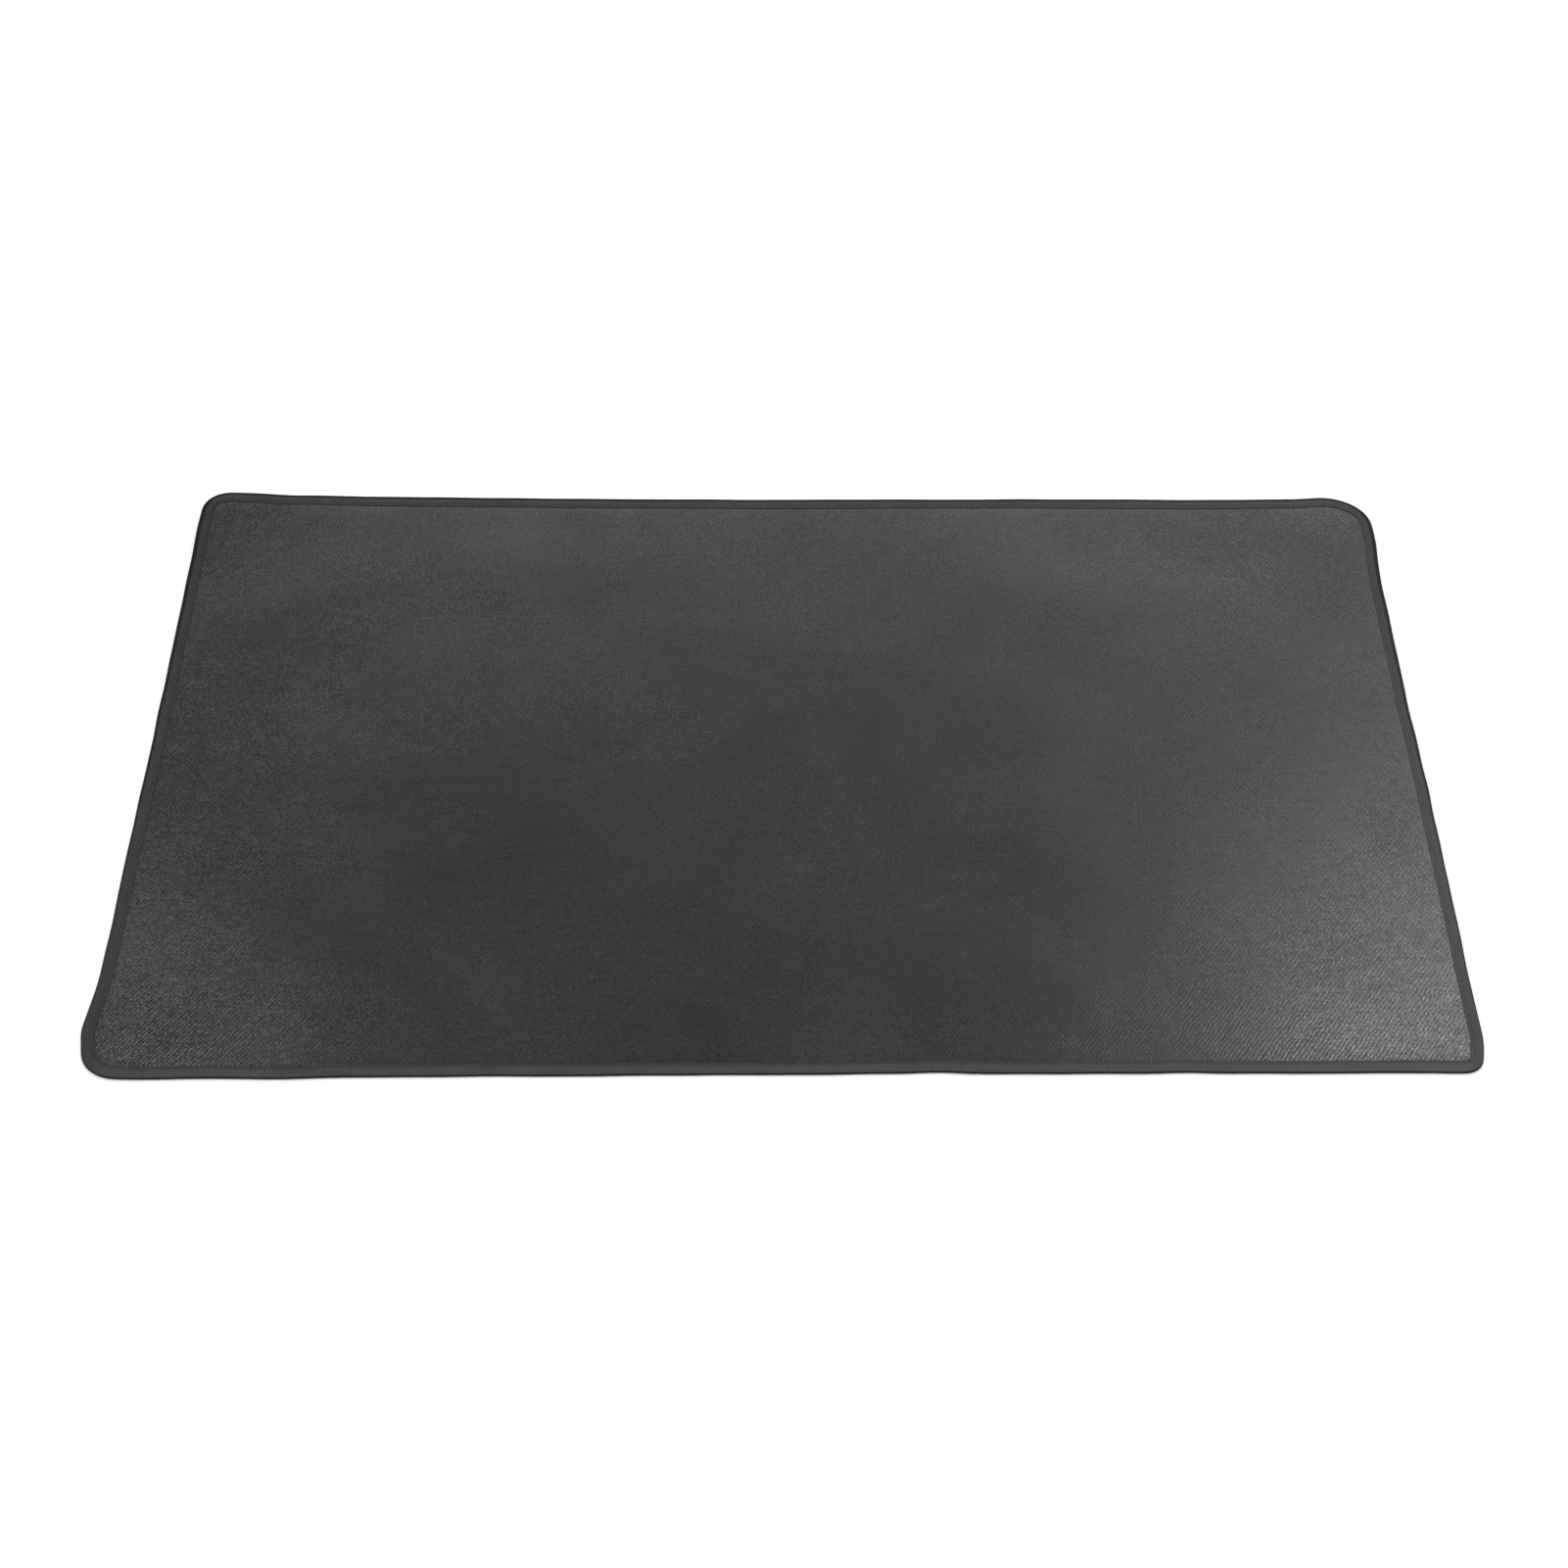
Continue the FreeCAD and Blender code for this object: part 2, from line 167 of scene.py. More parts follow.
def cad_outline():
    """The top cloth's raw edge, in order round the mat."""
    places = np.array([v.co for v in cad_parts["top_cloth"].data.vertices])
    rim = places[places[:, 2] > STACK["top_face"] - GAP][:, :2]
    rim = np.unique(rim.round(6), axis=0)
    middle = (rim.min(0) + rim.max(0)) / 2
    order = np.argsort(np.arctan2(rim[:, 1] - middle[1], rim[:, 0] - middle[0]))
    return rim[order]


def cad_lap():
    """The X where the CAD tape's lap starts and ends: its only vertices above the binding."""
    places = np.array([v.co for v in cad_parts["binding_tape"].data.vertices])
    raised = places[places[:, 2] > STACK["binding"] + GAUGE / 2]
    return raised[:, 0].min(), raised[:, 0].max()


class Edge:
    """The mat's outer edge: its points, the way out of the mat, and how sharply it turns."""

    WAVER = ((23, 0.24, 0.4), (37, 0.18, 2.1), (61, 0.12, 5.0))  # waves round the mat, size in mm, phase
    BULGES = (  # X and Y of the middle, how far out, and how far along it reaches, all in mm
        (165, -500, -2.4, 34), (430, -500, -1.9, 32), (640, -500, -0.9, 50), (-545, -504, 2.3, 45),
        (-690, -505, 1.4, 50), (752, -375, -1.5, 55), (751, -60, 1.4, 32), (752, 95, -1.2, 35),
        (754, 405, 1.6, 30), (696, 499, 2.0, 20), (690, -500, -0.6, 20), (545, 499, -2.3, 75),
        (-440, 501, 1.1, 40), (-640, 504, -1.8, 28), (-749, 470, -1.5, 25), (-748, 30, -1.0, 45),
    )

    def __init__(self):
        lap_start, lap_end = cad_lap()
        raw = walk(cad_outline(), round(EDGE_ROUGHLY / EDGE_STEP))
        on_near_side = raw[:, 1] < 0
        first = np.argmin(np.abs(raw[:, 0] - lap_start) + 10 * ~on_near_side)
        raw = smooth_round(np.roll(raw, -first, axis=0), OUTLINE_EVENED)
        line = raw + outward_of(raw) * FOLD
        turn = np.linspace(0, 2 * np.pi, len(line), endpoint=False)
        for waves, size, phase in self.WAVER:
            line += outward_of(line) * (size * MM * np.sin(waves * turn + phase))[:, None]
        for x, y, size, reach in self.BULGES:
            away = np.linalg.norm(line - np.array([x, y]) * MM, axis=1)
            line += outward_of(line) * (size * MM * hump(away, reach * MM))[:, None]
        around = np.linalg.norm(line - np.roll(line, 1, axis=0), axis=1).sum()
        self.stitches = round(around / STITCH_PITCH)
        self.points = walk(line, 4 * self.stitches)
        self.outward = outward_of(self.points)
        self.length = np.linalg.norm(self.points - np.roll(self.points, 1, axis=0), axis=1).sum()
        self.step = self.length / len(self.points)
        self.pitch = self.length / self.stitches
        self.lap = lap_end - lap_start
        change = np.roll(self.outward, -1, axis=0) - np.roll(self.outward, 1, axis=0)
        turning = np.linalg.norm(change, axis=1)[:, None] / (2 * self.step)
        self.turning = smooth_round(turning, TURNING_EVENED)[:, 0]
        self.tree = KDTree(len(self.points))
        for i, (x, y) in enumerate(self.points):
            self.tree.insert((x, y, 0), i)
        self.tree.balance()

    def read(self, values, along):
        """Values held at the edge's points, read at any distance along it."""
        place = np.asarray(along) / self.step
        low = np.floor(place).astype(int)
        share = place - low
        if values.ndim > 1:
            share = share[..., None]
        count = len(self.points)
        return values[low % count] * (1 - share) + values[(low + 1) % count] * share

    def place(self, along, inset):
        """X and Y at a distance along the edge and an inset from it."""
        return self.read(self.points, along) - self.read(self.outward, along) * inset[..., None]

    def find(self, points):
        """The distance along and the inset of points on the mat."""
        nearest = np.array([self.tree.find((x, y, 0))[1] for x, y in points])
        inward = self.points[nearest] - points
        return nearest * self.step, np.einsum("ij,ij->i", inward, self.outward[nearest])

    def corner(self, toward_x, toward_y):
        """The distance along at which the edge reaches furthest in a direction."""
        return np.argmax(self.points @ np.array([toward_x, toward_y])) * self.step


edge = Edge()


# ---- the shape of the face ----


MAT_LOW, MAT_HIGH = (np.array(corner)[:2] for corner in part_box("binding_tape"))
MAT_MIDDLE = (MAT_LOW + MAT_HIGH) / 2
MAT_HALF = (MAT_HIGH - MAT_LOW) / 2


UNDULATIONS = (  # direction in degrees, wavelength and size in mm, phase
    (15, 1150, 0.30, 0.6), (100, 700, 0.25, 1.1), (20, 310, 0.26, 0.4), (65, 230, 0.20, 2.0),
    (110, 270, 0.22, 3.9), (155, 190, 0.15, 5.1), (5, 150, 0.09, 1.2), (85, 130, 0.07, 4.4),
)


def undulation(points):
    """Shallow waves left by rolling the mat up, which fade towards its bound edge."""
    total = np.zeros(len(points))
    for direction, wavelength, size, phase in UNDULATIONS:
        turn = math.radians(direction)
        run = points @ np.array([math.cos(turn), math.sin(turn)])
        total += size * MM * (1 + np.sin(2 * np.pi * run / (wavelength * MM) + phase))
    clearance = (MAT_HALF - np.abs(points - MAT_MIDDLE)).min(axis=1)
    return total * (0.15 + 0.85 * ease(clearance / (160 * MM)))


def lift(points):
    """How far the mat stands off the floor. It has not quite settled: one corner still curls up."""
    x, y = ((points - MAT_MIDDLE) / MAT_HALF).T
    from_far_left = np.hypot((x + 1) * MAT_HALF[0], (y - 1) * MAT_HALF[1])
    from_near_left = np.hypot((x + 1) * MAT_HALF[0], (y + 1) * MAT_HALF[1])
    far_left_curl = 7.5 * MM * hump(from_far_left, 150 * MM)
    far_left_rise = 1.2 * MM * hump(x + 0.75, 0.45) * hump(y - 1, 0.25)
    near_left_rise = 0.4 * MM * hump(from_near_left, 120 * MM)
    return far_left_curl + far_left_rise + near_left_rise + undulation(points)


def face_width(along):
    """How much of the tape shows on the face. It was folded by eye, so that differs round the mat."""
    out = edge.read(edge.outward, along)
    across = np.where(out[..., 0] > 0, FACE_SHOWN["right"], FACE_SHOWN["left"])
    deep = np.where(out[..., 1] > 0, FACE_SHOWN["far"], FACE_SHOWN["near"])
    drift = FACE_DRIFT * np.sin(2 * np.pi * 11 * along / edge.length + 0.8)
    return out[..., 0] ** 2 * across + out[..., 1] ** 2 * deep + drift


def nominal(inset, along):
    """An inset as it would be if the tape's face had its nominal width."""
    width = face_width(along)
    return np.where(inset < width, inset * TAPE_FACE / width, inset - width + TAPE_FACE)


def under_lap(along):
    """1 where the tape's start lies under its end, easing to 0 on both sides of that."""
    from_start = (along + edge.length / 2) % edge.length - edge.length / 2
    return ease(1 + from_start / LAP_RAMP) * ease(1 - (from_start - edge.lap) / LAP_RAMP)


def seam_pull(inset, along):
    """How far the seam draws the layers of the face down. It draws them less through the lap."""
    return SEAM_PULL * hump(inset - SEAM_INSET, PULL_REACH) * (1 - 0.7 * under_lap(along))


def hole_dip(inset, along):
    """The dimple that the thread pulls at each needle hole."""
    from_hole = (along / edge.pitch + 0.5) % 1 - 0.5
    return HOLE_DIP * hump(inset - SEAM_INSET, 1.3 * MM) * np.cos(np.pi * from_hole) ** 4


PLEAT_AT = edge.corner(1, -1)


def gathers(inset, along):
    """At a corner the tape's inner edge is too long for its seam, so it puckers, and once it pleats."""
    sharpness = np.clip(edge.read(edge.turning, along) * 22 * MM, 0, 1)
    puckers = 0.16 * MM * sharpness * np.sin(2 * np.pi * along / (9 * MM)) * ease(inset / SEAM_INSET)
    from_pleat = along - PLEAT_AT
    crease = hump(from_pleat, 2.2 * MM) - 0.6 * hump(from_pleat - 5 * MM, 3 * MM)
    pleat = 0.55 * MM * crease * ease((inset - 5 * MM) / (9 * MM))
    return puckers - pleat


def face_height(inset, along):
    """The tape's face above the top of its fold, at a nominal inset."""
    fullness = CROWN * np.sin(np.pi * np.clip(inset / (SEAM_INSET - 2 * MM), 0, 1))
    waver = 0.05 * MM * np.sin(2 * np.pi * along / (31 * MM)) * np.sin(2 * np.pi * along / (47 * MM) + 1)
    lip = LIP_RISE * ease((inset - SEAM_INSET) / (TAPE_FACE - SEAM_INSET))
    rise = fullness + (waver + gathers(inset, along)) * ease(inset / (4 * MM)) + lip
    return rise - seam_pull(inset, along) - hole_dip(inset, along)


def cloth_swell(inset):
    """Inside the binding the face comes up full, and then settles towards the middle."""
    climb = ease((inset - TAPE_FACE) / (14 * MM))
    settle = 0.35 + 0.65 * np.exp(-np.clip(inset - 32 * MM, 0, None) / (28 * MM))
    return SWELL * climb * settle


# ---- making meshes ----


def new_piece(name, points, faces, material, node):
    """A piece from its points and faces, standing for one CAD node."""
    mesh = bpy.data.meshes.new(name)
    mesh.from_pydata(points.tolist(), [], faces.tolist() if isinstance(faces, np.ndarray) else faces)
    mesh.shade_smooth()
    mesh.set_sharp_from_angle(angle=SHARP_ANGLE)
    mesh.materials.append(material)
    piece = bpy.data.objects.new(name, mesh)
    bpy.context.scene.collection.objects.link(piece)
    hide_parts(node)
    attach(piece, "root")
    return piece


# ---- the three layers ----


def net():
    """Points over the whole mat, closer together near the binding, and the triangles between them."""
    rim_stops = np.arange(0, len(edge.points), 4) * edge.step
    rim = edge.place(rim_stops, np.full(len(rim_stops), FOLD))
    inner = []
    for inset, spacing in RINGS:
        count = round(edge.length / (spacing * MM))
        stops = (np.arange(count) + 0.5) * edge.length / count
        ring = edge.place(stops, np.full(count, inset * MM))
        clearance = np.array([edge.tree.find((x, y, 0))[2] for x, y in ring])
        inner.append(ring[clearance > (inset - RING_SLACK) * MM])
    low, high = edge.points.min(0), edge.points.max(0)
    xs, ys = (np.arange(a, b, NET_STEP) for a, b in zip(low, high))
    grid = np.array([(x + (row % 2) * NET_STEP / 2, y) for row, y in enumerate(ys) for x in xs])
    inside = (grid > low + GRID_MARGIN).all(1) & (grid < high - GRID_MARGIN).all(1)
    grid = grid[inside]
    clearance = np.array([edge.tree.find((x, y, 0))[2] for x, y in grid])
    inner.append(grid[clearance > (RINGS[-1][0] + GRID_CLEARANCE) * MM])
    points = np.vstack([rim, *inner])
    rim_edges = [(i, (i + 1) % len(rim)) for i in range(len(rim))]
    made = delaunay_2d_cdt([Vector(p) for p in points], rim_edges, [], KEEP_INSIDE, WELD)
    return np.array([tuple(p) for p in made[0]]), np.array(made[2])


def rim_loop(triangles):
    """The vertices on the net's border, in order: each border edge belongs to one triangle only."""
    pairs = np.vstack([triangles[:, [0, 1]], triangles[:, [1, 2]], triangles[:, [2, 0]]])
    used = {tuple(p) for p in pairs.tolist()}
    following = {a: b for a, b in used if (b, a) not in used}
    loop = [min(following)]
    while following[loop[-1]] != loop[0]:
        loop.append(following[loop[-1]])
    return np.array(loop)


NET_POINTS, NET_TRIANGLES = net()
NET_ALONG, NET_RAW_INSET = edge.find(NET_POINTS)
NET_INSET = nominal(NET_RAW_INSET, NET_ALONG)
NET_LIFT = lift(NET_POINTS)
NET_RIM = rim_loop(NET_TRIANGLES)


def base_underside():
    """The backing cloth's lower side: on the tape's return at the rim, and on the floor within it."""
    on_return = 1 - ease((NET_INSET - TAPE_RETURN) / STEP_RUN)
    return on_return * GAUGE * (1 + under_lap(NET_ALONG))


def top_upper():
    """The face's height over the net, before the mat's lift."""
    return STACK["top_face"] - seam_pull(NET_INSET, NET_ALONG) + cloth_swell(NET_INSET)


def new_layer(name, underside, upper, material, node):
    """A layer of the mat as a closed shell between two heights over the net."""
    lower = np.column_stack([NET_POINTS, underside + GAP + NET_LIFT])
    higher = np.column_stack([NET_POINTS, upper - GAP + NET_LIFT])
    count = len(NET_POINTS)
    following = np.roll(NET_RIM, -1)
    wall = np.column_stack([NET_RIM, following, following + count, NET_RIM + count])
    faces = NET_TRIANGLES[:, ::-1].tolist() + (NET_TRIANGLES + count).tolist() + wall.tolist()
    return new_piece(name, np.vstack([lower, higher]), faces, material, node)


# ---- the binding tape ----

FACE_STOPS = (3, 5, 8, 10.4, 12.2, 13.4, 14.3, 15, 15.7, 16.4, 17)  # nominal insets in mm
RETURN_STOPS = (17, 15.5, 15, 14.5, 11, 6)
INNER_FACE_STOPS = (17, 15, 12, 6)
INNER_RETURN_STOPS = (6, 13, 17)
OUTER_ARC = 8  # parts of the fold's half circle
INNER_ARC = 4
FOLD_MIDDLE = len(RETURN_STOPS) + OUTER_ARC // 2  # which point of the section is outermost


def tape_section(along):
    """The tape's cross-section at one distance along its own length: insets, heights and ways across."""
    over = along > edge.length / 2
    step_up = under_lap(along)
    low = 0 if over else GAUGE * step_up
    high = STACK["binding"] + (GAUGE * step_up if over else 0)
    width = face_width(along)
    radius = (high - low) / 2
    middle = low + radius

    def flat(stops):
        return np.array(stops) * MM

    def arc(reach, parts, rising):
        turn = np.linspace(-np.pi / 2, np.pi / 2, parts + 1) * (1 if rising else -1)
        return FOLD - reach * np.cos(turn), middle + reach * np.sin(turn)

    returning = flat(RETURN_STOPS)
    seam_groove = BOBBIN_SINK * hump(returning - SEAM_INSET, 0.5 * MM)
    facing = flat(FACE_STOPS)
    inner_facing = flat(INNER_FACE_STOPS)
    inner_returning = flat(INNER_RETURN_STOPS)
    outer_arc = arc(radius, OUTER_ARC, True)
    inner_arc = arc(radius - GAUGE, INNER_ARC, False)
    scale = width / TAPE_FACE
    inner_face = high - GAUGE - seam_pull(inner_facing, along) + np.minimum(gathers(inner_facing, along), 0)
    insets = [returning * scale, outer_arc[0], facing * scale]
    insets += [inner_facing * scale, inner_arc[0], inner_returning * scale]
    heights = [low + seam_groove, outer_arc[1], high + face_height(facing, along)]
    heights += [inner_face, inner_arc[1], np.full(len(inner_returning), low + GAUGE)]
    return np.concatenate(insets), np.concatenate(heights)


def new_tape(material):
    """One strip of tape from under the lap, all the way round the mat, and over its own start."""
    step = edge.pitch / 2
    finish = edge.length + edge.lap
    stops = np.append(np.arange(0, finish - step / 2, step), finish)
    rings = []
    across = []
    for along in stops:
        insets, heights = tape_section(along)
        places = edge.place(np.full(len(insets), along), insets)
        rings.append(np.column_stack([places, heights + lift(places)]))
        run = np.hypot(np.diff(insets), np.diff(heights))
        reached = np.concatenate([[0], np.cumsum(run)])
        across.append(reached - reached[FOLD_MIDDLE])
    size = len(rings[0])
    points = np.vstack(rings)
    ring = np.arange(len(stops) - 1)[:, None] * size
    here = np.arange(size)[None, :]
    after = (here + 1) % size
    sides = np.stack([ring + here, ring + after, ring + size + after, ring + size + here], axis=-1)
    faces = sides.reshape(-1, 4)[:, ::-1].tolist()
    first_cap = list(range(size))
    last_cap = list(range(len(points) - 1, len(points) - size - 1, -1))
    faces += [first_cap, last_cap]
    tape = new_piece("binding_tape_strip", points, faces, material, "binding_tape")
    add_tape_map(tape.data, stops, np.array(across))
    return tape


def add_tape_map(mesh, stops, across):
    """Gives the tape a map of its own cloth, in metres: U along the tape, V across it from its fold."""
    size = across.shape[1]
    corner = np.zeros(len(mesh.loops), int)
    mesh.loops.foreach_get("vertex_index", corner)
    rows, columns = corner // size, corner % size
    layer = mesh.uv_layers.new(name="TapeCloth")
    places = np.column_stack([stops[rows], across[rows, columns]])
    layer.data.foreach_set("uv", places.astype(np.float32).ravel())


# ---- the seam's stitches ----

STITCH_SIDES = 6
GOLDEN_ANGLE = 2.399  # its multiples never fall into step
STITCH_SHAPE = (  # the way along a stitch, its height over the cloth in radii, and its girth
    (0.03, -1.5, 0.70), (0.12, -0.1, 0.92), (0.30, 0.55, 1.0), (0.50, 0.75, 1.0),
    (0.70, 0.55, 1.0), (0.88, -0.1, 0.92), (0.97, -1.5, 0.70),
)


def new_stitches(name, radius, surface, side, material, node):
    """A seam of separate stitches on the face (side 1) or the underside (side -1)."""
    shape = np.array(STITCH_SHAPE)
    holes = np.arange(edge.stitches)
    turn = np.arange(STITCH_SIDES) * 2 * np.pi / STITCH_SIDES
    share = shape[None, :, 0]
    along = (holes[:, None] + share) * edge.pitch
    spread = STITCH_SPREAD * np.sin(holes * GOLDEN_ANGLE)[:, None]
    slant = STITCH_SLANT * (share - 0.5) + spread
    inset = (SEAM_INSET + slant) * face_width(along) / TAPE_FACE
    centre = edge.place(along, inset)
    out = edge.read(edge.outward, along)
    height = surface(along) + side * shape[None, :, 1] * radius
    girth = radius * shape[:, 2]
    sideways = np.cos(turn)[None, None, :, None] * girth[None, :, None, None]
    upward = np.sin(turn)[None, None, :] * girth[None, :, None]
    flat = centre[:, :, None, :] + out[:, :, None, :] * sideways
    tall = height[:, :, None] + upward + lift(centre.reshape(-1, 2)).reshape(along.shape)[:, :, None]
    points = np.concatenate([flat, tall[..., None]], axis=-1).reshape(-1, 3)
    rings = len(shape)
    size = rings * STITCH_SIDES
    ring = np.arange(rings - 1)[:, None] * STITCH_SIDES
    here = np.arange(STITCH_SIDES)[None, :]
    after = (here + 1) % STITCH_SIDES
    one = np.stack([ring + here, ring + STITCH_SIDES + here, ring + STITCH_SIDES + after, ring + after], -1)
    tubes = (one.reshape(1, -1, 4) + holes[:, None, None] * size).reshape(-1, 4).tolist()
    caps = np.array([range(STITCH_SIDES), range(size - 1, size - STITCH_SIDES - 1, -1)])
    ends = (caps[None] + holes[:, None, None] * size).reshape(-1, STITCH_SIDES).tolist()
    return new_piece(name, points, tubes + ends, material, node)


def face_seam_surface(along):
    """The height of the tape's face on the seam, over the lap too."""
    from_start = (along + edge.length / 2) % edge.length - edge.length / 2
    on_lap = under_lap(along) * (from_start < edge.lap)
    return STACK["binding"] + GAUGE * on_lap + face_height(np.full(along.shape, SEAM_INSET), along)


def underside_seam_surface(along):
    """Low enough to lie in the tape's groove, and high enough to clear the floor."""
    return np.full(along.shape, 1.8 * BOBBIN_THREAD)


# ---- materials ----

# Albedos, and the coated face's gloss and mean roughness
TWILL_TONE = 0.0214
TAPE_TONE = 0.0345
THREAD_TONE = 0.028
BACKING_TONE = 0.028
FELT_TONE = 0.11
TWILL_GLOSS = 0.12
TWILL_ROUGH = 0.36
CREASE_SHADE = 0.24  # how much of its tone the tape keeps on its crease, under painted shade


class Shader:
    """Builds one material's nodes. A number or a socket can stand for any input."""

    def __init__(self, name, **constants):
        self.material = bpy.data.materials.new(name)
        self.material.use_nodes = True
        self.nodes = self.material.node_tree.nodes
        self.links = self.material.node_tree.links
        self.surface = self.nodes["Principled BSDF"]
        for socket, number in constants.items():
            self.surface.inputs[socket.replace("_", " ")].default_value = number

    def put(self, socket, value):
        if isinstance(value, bpy.types.NodeSocket):
            self.links.new(value, socket)
        elif value is not None:
            socket.default_value = value

    def math(self, operation, first, second=None):
        node = self.nodes.new("ShaderNodeMath")
        node.operation = operation
        for socket, value in zip(node.inputs, (first, second)):
            self.put(socket, value)
        return node.outputs[0]

    def wave(self, angle):
        return self.math("SINE", angle)

    def noise(self, place, scale, detail=2.0, roughness=0.5, distortion=0.0):
        node = self.nodes.new("ShaderNodeTexNoise")
        node.inputs["Distortion"].default_value = distortion
        node.inputs["Scale"].default_value = scale
        node.inputs["Detail"].default_value = detail
        node.inputs["Roughness"].default_value = roughness
        self.put(node.inputs["Vector"], place)
        return node.outputs["Fac"]

    def wander(self, place, scale, reach):
        """Two numbers up to a reach either way, each drifting on its own from place to place."""
        node = self.nodes.new("ShaderNodeTexNoise")
        node.inputs["Scale"].default_value = scale
        self.put(node.inputs["Vector"], place)
        first, second, _ = self.split(node.outputs["Color"])
        return self.remap(first, 0.3, 0.7, -reach, reach), self.remap(second, 0.3, 0.7, -reach, reach)

    def vector(self, x, y):
        node = self.nodes.new("ShaderNodeCombineXYZ")
        for socket, value in zip(node.inputs, (x, y)):
            self.put(socket, value)
        return node.outputs[0]

    def random(self, x, y=0.0):
        """One even random number for each whole-number place."""
        node = self.nodes.new("ShaderNodeTexWhiteNoise")
        node.noise_dimensions = "2D"
        self.put(node.inputs["Vector"], self.vector(x, y))
        return node.outputs["Value"]

    def length(self, vector):
        node = self.nodes.new("ShaderNodeVectorMath")
        node.operation = "LENGTH"
        self.put(node.inputs[0], vector)
        return node.outputs["Value"]

    def split(self, vector):
        node = self.nodes.new("ShaderNodeSeparateXYZ")
        self.put(node.inputs[0], vector)
        return node.outputs

    def coordinates(self, kind="Object"):
        return self.nodes.new("ShaderNodeTexCoord").outputs[kind]

    def remap(self, value, from_low, from_high, to_low, to_high, smooth=False):
        node = self.nodes.new("ShaderNodeMapRange")
        node.interpolation_type = "SMOOTHSTEP" if smooth else "LINEAR"
        for socket, number in zip(node.inputs, (value, from_low, from_high, to_low, to_high)):
            self.put(socket, number)
        return node.outputs[0]

    def mix(self, share, first, second):
        """The first value where the share is 0, and the second where it is 1."""
        return self.remap(share, 0, 1, first, second)

    def times(self, *factors):
        product = factors[0]
        for factor in factors[1:]:
            product = self.math("MULTIPLY", product, factor)
        return product

    def plus(self, *terms):
        total = terms[0]
        for term in terms[1:]:
            total = self.math("ADD", total, term)
        return total

    def grey(self, level):
        """A colour of one level, which is a socket."""
        node = self.nodes.new("ShaderNodeCombineColor")
        for socket in node.inputs:
            self.put(socket, level)
        return node.outputs[0]

    def bump(self, height, strength, distance):
        node = self.nodes.new("ShaderNodeBump")
        node.inputs["Strength"].default_value = strength
        node.inputs["Distance"].default_value = distance
        self.put(node.inputs["Height"], height)
        self.put(self.surface.inputs["Normal"], node.outputs[0])

    def finish(self, colour, roughness):
        self.put(self.surface.inputs["Base Color"], colour)
        self.put(self.surface.inputs["Roughness"], roughness)
        return self.material


class Weave:
    """A twill in yarns: warp along Y and weft along X, each floating over half the repeat.

    height is 0 in the gaps and 1 on a yarn's crown, on_warp is 1 on a warp yarn, and float_luck is one
    random number for each float, which is what makes real cloth look dotted and not ruled.
    """

    def __init__(self, shader, x, y, repeat):
        turn = 2 * math.pi / repeat
        self.warp = shader.math("FLOOR", x)
        self.weft = shader.math("FLOOR", y)
        warp_reach = shader.math("SUBTRACT", y, self.warp)
        weft_reach = shader.math("SUBTRACT", shader.math("SUBTRACT", x, self.weft), repeat / 2 + 1)
        warp_float = shader.math("COSINE", shader.times(warp_reach, turn))
        weft_float = shader.math("COSINE", shader.times(weft_reach, turn))
        warp_round = shader.wave(shader.times(shader.math("FRACT", x), math.pi))
        weft_round = shader.wave(shader.times(shader.math("FRACT", y), math.pi))
        warp_height = shader.times(warp_float, warp_round)
        weft_height = shader.times(weft_float, weft_round)
        self.height = shader.math("MAXIMUM", shader.math("MAXIMUM", warp_height, weft_height), 0)
        self.on_warp = shader.math("GREATER_THAN", warp_height, weft_height)
        warp_number = shader.math("ROUND", shader.math("DIVIDE", warp_reach, repeat))
        weft_number = shader.math("ROUND", shader.math("DIVIDE", weft_reach, repeat))
        warp_luck = shader.random(self.warp, warp_number)
        weft_luck = shader.random(shader.plus(self.weft, 0.5), weft_number)
        self.float_luck = shader.mix(self.on_warp, weft_luck, warp_luck)


